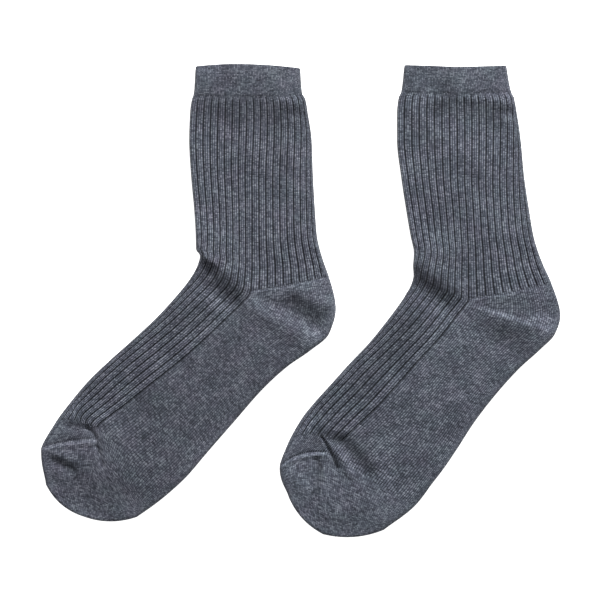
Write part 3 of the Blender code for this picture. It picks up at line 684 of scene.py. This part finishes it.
def colour_property(name, description, hex_colour):
    """Property for one colour."""
    return bpy.props.FloatVectorProperty(
        name=name, description=description, subtype="COLOR", default=linear(hex_colour))


class SockSizes(bpy.types.PropertyGroup):
    """Sizes of the knitted cloth."""

    cloth: size_property("Cloth", "Thickness of the knitted wall", CLOTH)
    rib_crown: size_property("Rib crown", "Height of a rib above plain cloth", 0.35)
    rib_groove: size_property("Rib groove", "Depth of the groove between two ribs", 0.7)
    wale_relief: size_property("Wale relief", "Height of a wale on a rib", 0.1)
    lip_depth: size_property("Lip depth", "How far the turned cuff runs down inside", 19.0)
    stitch_relief: size_property("Stitch relief", "Depth between two stitches", 0.22)


class SockColours(bpy.types.PropertyGroup):
    """Colours of the yarn and the floor."""

    dark_fibre: colour_property("Dark fibre", "Darkest fibres of the heathered yarn", "#2b2e36")
    blue_fibre: colour_property("Blue fibre", "Blue grey fibres, the main tone of the yarn", "#4a4e5a")
    light_fibre: colour_property("Light fibre", "Undyed fibres mixed into the yarn", "#7d828d")
    # Painted shade: the colour mixed into yarn deep in a groove and wherever painted shade falls
    painted_shade_colour: colour_property("Deep yarn", "Yarn deep in a groove, which little light reaches", "#0e1118")
    nap: colour_property("Nap", "Loose fibre ends that catch the light at the edges", "#adb0b5")
    # Painted edge shade: a warm grey mixed in where the cloth turns under at the rim
    rim: colour_property("Rim", "Warm grey of the cloth seen edge-on", "#474645")
    floor: colour_property("Floor", "White light table under the socks", "#f4f4f4")


def fill(tree, target, **inputs):
    """Set or link the sockets of a node, named by word or by in_ and number."""
    for name, value in inputs.items():
        key = int(name[3:]) if name.startswith("in_") else name.replace("_", " ")
        if isinstance(value, bpy.types.NodeSocket):
            tree.links.new(value, target.inputs[key])
        else:
            target.inputs[key].default_value = value


def node(tree, kind, settings=None, **inputs):
    """Add a node, set its properties and fill its sockets."""
    added = tree.nodes.new(kind)
    for name, value in (settings or {}).items():
        setattr(added, name, value)
    fill(tree, added, **inputs)
    return added


def maths(tree, operation, *values):
    """Result of a maths node."""
    inputs = {f"in_{k}": value for k, value in enumerate(values)}
    return node(tree, "ShaderNodeMath", {"operation": operation}, **inputs).outputs[0]


def cloud(tree, place, scale, detail, roughness=0.5):
    """Value of a smooth noise at a place."""
    return node(tree, "ShaderNodeTexNoise", Vector=place, Scale=scale, Detail=detail,
                Roughness=roughness).outputs[0]


def vectors(tree, operation, **inputs):
    """Result of a maths node for colours."""
    return node(tree, "ShaderNodeVectorMath", {"operation": operation}, **inputs).outputs[0]


# How the yarn of each piece looks: its tone on sock 1 and sock 2, which differ partly as painted light and
# shade, strength of the streaks along the wales, the bands along the courses, the fine mottle and the slow
# patches, depth of the stitches, and how strongly the painted shade between two wales shows where sock 1
# and sock 2 are plain
Knit = namedtuple("Knit", "tones streak band mottle patch stitch lines")
KNITS = {
    "cuff": Knit((0.66, 0.65), 0.28, 0.65, 0.5, 0.5, 0.95, (0, 0)),
    "tube": Knit((0.72, 0.69), 0.28, 0.8, 0.26, 0.3, 1, (0, 0.6)),
    "heel": Knit((0.83, 0.69), 0.18, 0.9, 0.28, 0.34, 0.9, (0, 0.4)),
    "toe": Knit((0.75, 0.85), 0.14, 0.95, 0.3, 0.42, 0.72, (0, 0)),
}

# Tint of the dye lot of sock 1 and of sock 2
TINTS = ((1.0, 0.985, 0.965), (1.0, 1.005, 0.985))

# One stitch: courses that its legs climb across a wale, how narrow the valley beside it and the line
# up its middle are, and how deep that line and the gap between two strands are
LEG_CLIMB = 1.3
VALLEY_POWER = 2.2
MIDDLE_POWER = 14.0
MIDDLE_DEPTH = 0.12
STRAND_DEPTH = 0.55

# Changes of the yarn's tone: scale, detail and roughness of each. Streaks and bands are counted in
# wales and courses, which they stretch, and the others in metres.
STREAK = (1.0, 2.0)
STREAK_ACROSS, STREAK_ALONG = 1.5, 0.16
BAND = (1.3, 1.0)
BAND_ACROSS = 0.2
FIBRE = (1900.0, 2.0)
MOTTLE = (1050.0, 2.0, 0.65)
PATCH = (60.0, 2.0)
DRIFT = (85.0, 1.0)

# Shares of a stitch's own tone, of its fibres and of the drift, and where the three fibre colours lie
OWN_SHARE = 0.42
FIBRE_SHARE = 0.60
DRIFT_SHARE = 0.12
FIBRE_STOPS = (0.12, 0.48, 0.92)

# Light and shade painted into the yarn's colour: more on top of a stitch, less beside it and between two
# wales, more on a rib, less in a groove, which the streaks change, and the least anywhere
STITCH_LIGHT = 1.25
STITCH_SHADE = 0.72
WALE_SHADE = 1.15
RIB_LIGHT = 0.38
GROOVE_SHADE = 0.75
GROOVE_STREAK = -1.5
LEAST_LIGHT = 0.05

# Share of the warm grey painted at the rim as edge shade, and how much fibres and stitches stand out in
# the light
RIM_SHADE_SHARE = 0.4
FIBRE_RELIEF = 0.5
STITCH_STRENGTH = 0.7


def heathered_wool(piece, number):
    """Heathered wool yarn knitted to a fine jersey: mixed fibre colours, one stitch at a time.

    The wool fibres scatter the light, so the cloth is matt, and loose ends form a thin pale nap.
    Stitches are as wide as a wale and as high as a course, which the stitch map counts.
    Light and shade of the stitches, wales, grooves, rim and folds are painted into the colour.
    """
    knit = KNITS[piece]
    colours = bpy.context.scene.sock_colours
    material = bpy.data.materials.new(f"heathered_wool_{piece}_{number}")
    material.use_nodes = True
    tree = material.node_tree
    add, calc, noise = (functools.partial(step, tree) for step in (node, maths, cloud))
    plus, minus, times, times_plus = (
        functools.partial(calc, name) for name in ("ADD", "SUBTRACT", "MULTIPLY", "MULTIPLY_ADD"))
    stitch = add("ShaderNodeUVMap", {"uv_map": "stitches"}).outputs[0]
    wale, course, _ = add("ShaderNodeSeparateXYZ", Vector=stitch).outputs
    place = add("ShaderNodeTexCoord").outputs["Object"]

    # One stitch: two legs that lean together between a valley on each side of the wale
    lean = calc("ABSOLUTE", minus(calc("FRACT", plus(wale, 0.5)), 0.5))
    leg = calc("FRACT", plus(course, times(lean, LEG_CLIMB)))
    strand = calc("SINE", times(leg, math.pi))
    valley = calc("POWER", times(lean, 2.0), VALLEY_POWER)
    middle = calc("POWER", minus(1.0, lean), MIDDLE_POWER)
    width = minus(minus(1.0, valley), times(middle, MIDDLE_DEPTH))
    loop = times(times_plus(strand, STRAND_DEPTH, 1.0 - STRAND_DEPTH), width)

    # Fibre colours: each stitch has its own, runs of stitches share some, and patches differ slowly
    cell = add("ShaderNodeCombineXYZ", X=calc("FLOOR", plus(wale, 0.5)), Y=calc("FLOOR", course))
    own = add("ShaderNodeTexWhiteNoise", {"noise_dimensions": "2D"}, Vector=cell.outputs[0]).outputs[0]
    along_wale = add("ShaderNodeCombineXYZ", X=times(wale, STREAK_ACROSS), Y=times(course, STREAK_ALONG))
    along_course = add("ShaderNodeCombineXYZ", X=times(wale, BAND_ACROSS), Y=course)
    streak = noise(along_wale.outputs[0], *STREAK)
    band = noise(along_course.outputs[0], *BAND)
    fibre, mottle, patch = (noise(place, *change) for change in (FIBRE, MOTTLE, PATCH))
    mix = 0.5
    shares = ((own, OWN_SHARE), (streak, knit.streak), (band, knit.band), (fibre, FIBRE_SHARE),
              (mottle, knit.mottle), (patch, knit.patch))
    for value, share in shares:
        mix = times_plus(minus(value, 0.5), share, mix)
    ramp = add("ShaderNodeValToRGB", Fac=mix)
    ramp.color_ramp.elements.new(0.5)
    fibres = (colours.dark_fibre, colours.blue_fibre, colours.light_fibre)
    tone, tints = knit.tones[number - 1], TINTS[number - 1]
    for element, position, colour in zip(ramp.color_ramp.elements, FIBRE_STOPS, fibres):
        element.position = position
        element.color = (*(value * tone * tint for value, tint in zip(colour, tints)), 1.0)

    # Slow drift of the dye between a cooler and a warmer grey
    drift = times(minus(noise(place, *DRIFT), 0.5), DRIFT_SHARE)
    warmth = add("ShaderNodeCombineXYZ", X=minus(1.0, drift), Y=plus(drift, 1.0), Z=1.0)
    tinted = vectors(tree, "MULTIPLY", in_0=ramp.outputs[0], in_1=warmth.outputs[0])

    # Painted shade: the yarn's colour is darker between two stitches, between two wales and down in a
    # groove, where little light reaches, and lighter on top of a stitch and on a rib as painted highlight.
    # Some stretches of a groove get more painted shade than others.
    groove, rib, rim, painted_light_and_shade = (
        add("ShaderNodeAttribute", {"attribute_name": mark}).outputs["Fac"] for mark in MARKS)
    light = times_plus(loop, STITCH_LIGHT * knit.stitch, 1.0 - STITCH_SHADE * knit.stitch)
    apart = calc("MAXIMUM", rib, knit.lines[number - 1])
    line = times(times(valley, apart), WALE_SHADE)
    light = times(light, minus(times_plus(apart, RIB_LIGHT, 1.0), line))
    painted_groove_shade = times_plus(streak, GROOVE_STREAK, minus(patch, GROOVE_SHADE))
    light = times(light, times_plus(groove, painted_groove_shade, 1.0))
    light = calc("MAXIMUM", times(light, plus(painted_light_and_shade, 1.0)), LEAST_LIGHT)
    lit = vectors(tree, "SCALE", in_0=tinted, Scale=light)
    # Painted shade colour mixed in wherever the painted light falls below full
    hidden = calc("MAXIMUM", minus(1.0, light), 0.0)
    deep = vectors(tree, "SCALE", in_0=tuple(colours.painted_shade_colour), Scale=hidden)
    shade = vectors(tree, "ADD", in_0=lit, in_1=deep)

    # Painted edge shade and sheen at the rim: a warmer grey where the cloth turns under stands in for
    # the nap of undyed fibres seen against the light
    edge = add("ShaderNodeMix", {"data_type": "RGBA"},
               Factor=times(rim, RIM_SHADE_SHARE), A=shade, B=(*colours.rim, 1.0))
    bump = add("ShaderNodeBump", Height=times_plus(fibre, FIBRE_RELIEF, loop), Strength=STITCH_STRENGTH,
               Distance=bpy.context.scene.sock_sizes.stitch_relief * knit.stitch)
    fill(tree, tree.nodes["Principled BSDF"], Base_Color=edge.outputs["Result"], Normal=bump.outputs[0],
         Roughness=0.92, IOR=1.55, Specular_IOR_Level=0.18, Sheen_Weight=0.22, Sheen_Roughness=0.45,
         Sheen_Tint=(*colours.nap, 1.0))
    return material


def add_shell(name, points, faces, stitches, marks, material):
    """Object of a knitted shell, with its stitch map and its marks."""
    mesh = bpy.data.meshes.new(name)
    mesh.from_pydata(points.tolist(), [], faces.tolist())
    mesh.shade_smooth()
    layer = mesh.uv_layers.new(name="stitches")
    layer.data.foreach_set("uv", stitches.astype(np.float32).ravel())
    for number, mark in enumerate(MARKS):
        values = mesh.attributes.new(mark, "FLOAT", "POINT")
        values.data.foreach_set("value", marks[:, number].astype(np.float32))
    mesh.materials.append(material)
    thing = bpy.data.objects.new(name, mesh)
    bpy.context.collection.objects.link(thing)
    return thing


# Rows of the cuff's edge as it rolls over and then runs down inside, and the least step of that run
LIP_TURNS = 8
LIP_ROWS = 10
LIP_START = 0.2 * MM

# How far the roll stands past the cuff's end, as a share of half the cloth
LIP_ROLL = 0.25


def turned_lip(sock):
    """Points, faces, stitches and marks of the cuff's edge, rolled over and down the inside."""
    sizes = bpy.context.scene.sock_sizes
    radius = sizes.cloth / 2
    start = sock.points[0]
    depth = np.linalg.norm(sock.points - start, axis=2).mean(axis=1)
    rows = [start]
    for k in range(1, LIP_TURNS + 1):
        turn = math.pi * k / LIP_TURNS
        rise = np.array([0.0, LIP_ROLL * radius * math.sin(turn), 0.0])
        rows.append(start - sock.normals(0) * radius * (1.0 - math.cos(turn)) + rise)
    for k in range(1, LIP_ROWS + 1):
        row = int(np.searchsorted(depth, LIP_START + sizes.lip_depth * k / LIP_ROWS))
        rows.append(sock.points[row] - sock.normals(row) * 2 * radius)
    points = np.array(rows)
    count = len(sock.ring)
    cell_rows, cell_columns = np.indices((len(rows) - 1, count)).reshape(2, -1, 1)
    corner_rows = cell_rows + np.array([0, 0, 1, 1])
    corner_columns = cell_columns + np.array([0, 1, 1, 0])
    faces = corner_rows * count + corner_columns % count
    wales = sock.wale_map[0][corner_columns]
    stitches = np.stack([wales, -1.0 * corner_rows], axis=-1)
    marks = np.zeros((len(rows) * count, len(MARKS)))
    return points.reshape(-1, 3), faces, stitches.reshape(-1, 2), marks


def joined(first, second):
    """Two shells as one set of points, faces, stitches and marks."""
    second = (second[0], second[1] + len(first[0]), *second[2:])
    return tuple(np.concatenate(pair) for pair in zip(first, second))


def cut_size(sock, piece):
    """Flat width and length of a piece's cloth in metres, opened out, and its area."""
    first, last = PIECES[piece][0][0], PIECES[piece][-1][1]
    rows = slice(sock.row_of[first], sock.row_of[last] + 1)
    flat = sock.flat[rows]
    if piece == "heel":
        flat = flat[:, sock.side_line:]
    round_it = np.linalg.norm(np.diff(flat, axis=1), axis=2).sum(axis=1).max() * MM
    along = np.linalg.norm(np.diff(flat, axis=0), axis=2).sum(axis=0).max() * MM
    return float(round_it), float(along), sock.flat_area(piece)


def make_pieces(piece):
    """Knit one piece of both socks in place of its solid."""
    for number in (1, 2):
        sock = skin(number)
        shell = sock.piece_mesh(piece)
        width, length, area = cut_size(sock, piece)
        if piece == "cuff":
            shell = joined(shell, turned_lip(sock))
            lip = bpy.context.scene.sock_sizes.lip_depth
            length += lip
            area += width * lip
        thing = add_shell(f"sock_{number}_{piece}_knit", *shell, heathered_wool(piece, number))
        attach(thing, "root")
        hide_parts(f"sock_{number}_{piece}")
    return {"FINISHED"}


class SOCKS_OT_cuffs(bpy.types.Operator):
    """Knit the two turned cuffs"""

    bl_idname = "socks.cuffs"
    bl_label = "Cuffs"

    def execute(self, context):
        return make_pieces("cuff")


class SOCKS_OT_tubes(bpy.types.Operator):
    """Knit the two ribbed tubes of leg and foot"""

    bl_idname = "socks.tubes"
    bl_label = "Tubes"

    def execute(self, context):
        return make_pieces("tube")


class SOCKS_OT_heels(bpy.types.Operator):
    """Knit the two heel pockets"""

    bl_idname = "socks.heels"
    bl_label = "Heels"

    def execute(self, context):
        return make_pieces("heel")


class SOCKS_OT_toes(bpy.types.Operator):
    """Knit the two toe pockets"""

    bl_idname = "socks.toes"
    bl_label = "Toes"

    def execute(self, context):
        return make_pieces("toe")


# The stage, in metres: the photo's frame is 600 pixels of 0.7 mm, and its middle is the tables' zero
VIEW_WIDTH = 0.42
LENS_MM = 100.0
SENSOR_MM = 36.0
FLOOR_SIZE = 6.0

# Area lights: size and height of the lamp, how far it stands towards the cuffs and to the right, power
Lamp = namedtuple("Lamp", "name size height back right power")
LAMPS = (
    Lamp("overhead softbox", 1.6, 1.5, 0.1, 0, 3),
    Lamp("cuff side softbox", 0.5, 0.78, 1.15, 0.4, 44),
)
WORLD_STRENGTH = 0.34
FLOOR_GLOW = 0.95
WHITE = (1.0, 1.0, 1.0, 1.0)


class SOCKS_OT_stage(bpy.types.Operator):
    """Set the floor, the light and the camera"""

    bl_idname = "socks.stage"
    bl_label = "Stage"

    def execute(self, context):
        self.set_floor(context)
        self.set_light(context)
        self.set_camera(context)
        return {"FINISHED"}

    @staticmethod
    def set_floor(context):
        """Light table of opal acrylic: plain, white, without gloss and without shadows."""
        half = FLOOR_SIZE / 2
        mesh = bpy.data.meshes.new("floor")
        corners = [(-half, -half, 0), (half, -half, 0), (half, half, 0), (-half, half, 0)]
        mesh.from_pydata(corners, [], [(0, 1, 2, 3)])
        material = bpy.data.materials.new("opal_light_table")
        material.use_nodes = True
        tree = material.node_tree
        fill(tree, tree.nodes["Principled BSDF"], Base_Color=(*context.scene.sock_colours.floor, 1.0),
             Roughness=1.0, Specular_IOR_Level=0.0, Emission_Color=WHITE, Emission_Strength=FLOOR_GLOW)
        mesh.materials.append(material)
        floor = bpy.data.objects.new("floor", mesh)
        context.collection.objects.link(floor)

    @staticmethod
    def set_light(context):
        """White surroundings and two softboxes, the stronger modelling from the cuffs' side."""
        world = bpy.data.worlds.new("studio")
        world.use_nodes = True
        fill(world.node_tree, world.node_tree.nodes["Background"], Color=WHITE, Strength=WORLD_STRENGTH)
        context.scene.world = world
        for lamp in LAMPS:
            light = bpy.data.lights.new(lamp.name, "AREA")
            light.size = lamp.size
            light.energy = lamp.power
            thing = bpy.data.objects.new(lamp.name, light)
            thing.location = (lamp.right, lamp.back, lamp.height)
            thing.rotation_euler = thing.location.to_track_quat("Z", "Y").to_euler()
            context.collection.objects.link(thing)

    @staticmethod
    def set_camera(context):
        """Camera that looks straight down on the middle of the photo's frame."""
        camera = bpy.data.cameras.new("camera")
        camera.lens = LENS_MM
        camera.sensor_width = SENSOR_MM
        thing = bpy.data.objects.new("camera", camera)
        distance = VIEW_WIDTH * LENS_MM / SENSOR_MM
        middle = [-value * MM for value in PAIR_MIDDLE]
        thing.location = (*middle, distance + EDGE_RADIUS * MM)
        context.collection.objects.link(thing)
        context.scene.camera = thing
        context.scene.view_settings.view_transform = "Standard"


class SOCKS_PT_panel(bpy.types.Panel):
    """The steps that make the socks and their stage"""

    bl_idname = "SOCKS_PT_panel"
    bl_label = "Ribbed Wool Socks"
    bl_space_type = "VIEW_3D"
    bl_region_type = "UI"
    bl_category = "Socks"

    def draw(self, context):
        for group in (context.scene.sock_sizes, context.scene.sock_colours):
            for name in group.__annotations__:
                self.layout.prop(group, name)
        for step in STEPS:
            self.layout.operator(step.bl_idname)


STEPS = (SOCKS_OT_cuffs, SOCKS_OT_tubes, SOCKS_OT_heels, SOCKS_OT_toes, SOCKS_OT_stage)
CLASSES = (SockSizes, SockColours, *STEPS, SOCKS_PT_panel)


def register():
    """Register the classes and add the two groups of properties to the scene."""
    for item in CLASSES:
        bpy.utils.register_class(item)
    bpy.types.Scene.sock_sizes = bpy.props.PointerProperty(type=SockSizes)
    bpy.types.Scene.sock_colours = bpy.props.PointerProperty(type=SockColours)


def unregister():
    """Remove the properties and the classes."""
    del bpy.types.Scene.sock_sizes
    del bpy.types.Scene.sock_colours
    for item in reversed(CLASSES):
        bpy.utils.unregister_class(item)


def main():
    register()
    bpy.ops.socks.cuffs()
    bpy.ops.socks.tubes()
    bpy.ops.socks.heels()
    bpy.ops.socks.toes()
    bpy.ops.socks.stage()


if __name__ == "__main__":
    main()
